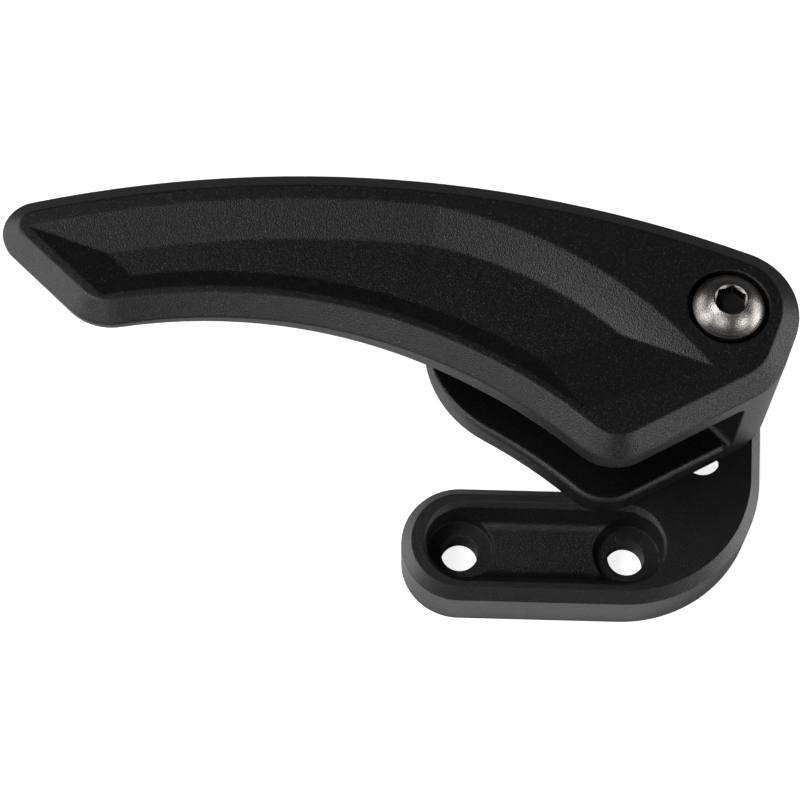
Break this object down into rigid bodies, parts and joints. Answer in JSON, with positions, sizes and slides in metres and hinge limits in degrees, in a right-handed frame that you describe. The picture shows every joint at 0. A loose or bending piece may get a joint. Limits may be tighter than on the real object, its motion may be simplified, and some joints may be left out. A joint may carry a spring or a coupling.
{
  "type": "bicycle chain guide",
  "caption": "Black moulded chain guide with a curved, recessed wing over a chain slot, held by a button head pivot bolt on an L-shaped aluminium bracket with a recessed pair of frame holes.",
  "frame": {"origin": "midway between the two frame holes, on the bracket's back face", "axes": "+X along the two frame holes towards the pivot bolt, +Z along the pivot bolt away from the bicycle frame, +Y from the frame holes towards the wing"},
  "size_m": [0.1165, 0.0584, 0.0349],
  "materials": {
    "body_plastic": "black glass filled nylon with a fine moulded grain",
    "bracket_metal": "bead blasted and black anodised",
    "bolt_steel": "satin, slightly warm grey"
  },
  "bodies": {
    "bracket": {"mount_bracket": "bracket_metal", "pivot_bolt": "bolt_steel"},
    "guide": {"guide_body": "body_plastic"}
  },
  "joints": [
    {"name": "guide_swing", "type": "hinge", "parent": "bracket", "child": "guide", "pos_m": [0.02495, 0.02835, 0.01], "axis": [0, 0, 1], "range_deg": [-25, 10]}
  ]
}
